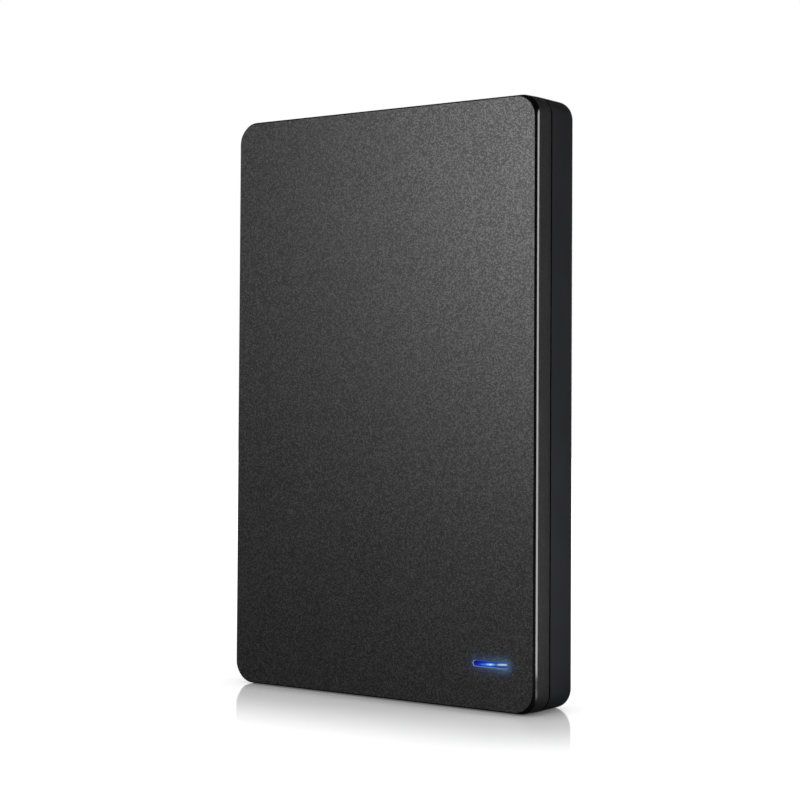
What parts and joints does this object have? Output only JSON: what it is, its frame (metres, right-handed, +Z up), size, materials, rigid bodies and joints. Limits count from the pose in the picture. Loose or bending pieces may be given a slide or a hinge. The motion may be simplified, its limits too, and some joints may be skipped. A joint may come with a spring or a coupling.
{
  "type": "portable external hard drive",
  "caption": "Slim portable hard drive: two-piece moulded case with a rolled rim, parting groove, status light and USB port, holding a disk drive and bridge board.",
  "frame": {"origin": "centre of the case's footprint, on the port edge that it stands on", "axes": "+Z up along the length of the case, -Y out of the front face, +X to the right seen from the front"},
  "size_m": [0.0754, 0.014, 0.12],
  "materials": {
    "face_plastic": "fine moulded grain with a polished rim",
    "back_plastic": "smooth satin",
    "light_pipe": "clear, lit blue",
    "foam": "fine foam",
    "bumper_rubber": "matte",
    "board_green": "solder mask",
    "chip_black": "matte moulding",
    "connector_black": "moulded",
    "plated_steel": "plated",
    "gold_contact": "plated",
    "part_ceramic": "matte",
    "ferrite": "matte",
    "led_body": "milky, lit blue",
    "cast_metal": "as cast and machined",
    "cover_metal": "stamped sheet",
    "gasket_rubber": "matte",
    "platter_mirror": "mirror polished",
    "machined_metal": "machined",
    "bearing_steel": "ground",
    "copper_wire": "enamelled winding",
    "magnet_nickel": "nickel plated",
    "ramp_plastic": "satin",
    "flex_amber": "polyimide film",
    "filter_felt": "felt"
  },
  "bodies": {
    "case": {"front_cover": "face_plastic", "rear_cover": "back_plastic", "light_pipe": "light_pipe", "front_pads": "foam", "rear_pads": "foam", "side_bumpers": "bumper_rubber", "end_foam": "foam", "bridge_board": "board_green", "bridge_controller": "chip_black", "flash_memory": "chip_black", "crystal": "plated_steel", "power_inductor": "ferrite", "capacitors": "part_ceramic", "indicator_led": "led_body", "usb_shell": "plated_steel", "usb_insulator": "connector_black", "usb_contacts": "gold_contact", "sata_receptacle": "connector_black", "sata_springs": "gold_contact", "drive_base": "cast_metal", "drive_cover": "cover_metal", "cover_gasket": "gasket_rubber", "cover_screws": "plated_steel", "drive_board": "board_green", "drive_board_screws": "plated_steel", "drive_controller": "chip_black", "cache_memory": "chip_black", "motor_driver": "chip_black", "board_insulator": "foam", "sata_plug": "connector_black", "sata_plug_contacts": "gold_contact", "bearing_sleeve": "bearing_steel", "stator_core": "bearing_steel", "stator_coils": "copper_wire", "pivot_shaft": "bearing_steel", "lower_yoke": "plated_steel", "lower_magnet": "magnet_nickel", "upper_magnet": "magnet_nickel", "upper_yoke": "plated_steel", "yoke_spacers": "plated_steel", "load_ramp": "ramp_plastic", "crash_stops": "bumper_rubber", "head_flex": "flex_amber", "flex_connector": "connector_black", "recirculation_filter": "filter_felt", "breather_filter": "filter_felt"},
    "disk_stack": {"spindle_hub": "machined_metal", "rotor_magnet": "magnet_nickel", "lower_platter": "platter_mirror", "upper_platter": "platter_mirror", "platter_spacer": "machined_metal", "disk_clamp": "bearing_steel", "clamp_screw": "plated_steel"},
    "head_actuator": {"arm_block": "machined_metal", "pivot_cartridge": "bearing_steel", "voice_coil": "copper_wire", "load_beams": "bearing_steel", "head_sliders": "ferrite"}
  },
  "joints": [
    {"name": "spindle_spin", "type": "hinge", "parent": "case", "child": "disk_stack", "pos_m": [0, 0, 0.08203], "axis": [0, -1, 0], "continuous": true},
    {"name": "head_swing", "type": "hinge", "parent": "case", "child": "head_actuator", "pos_m": [0.009, 0, 0.0406], "axis": [0, -1, 0], "range_deg": [0, 41.3], "deforming": ["head_flex"]}
  ]
}
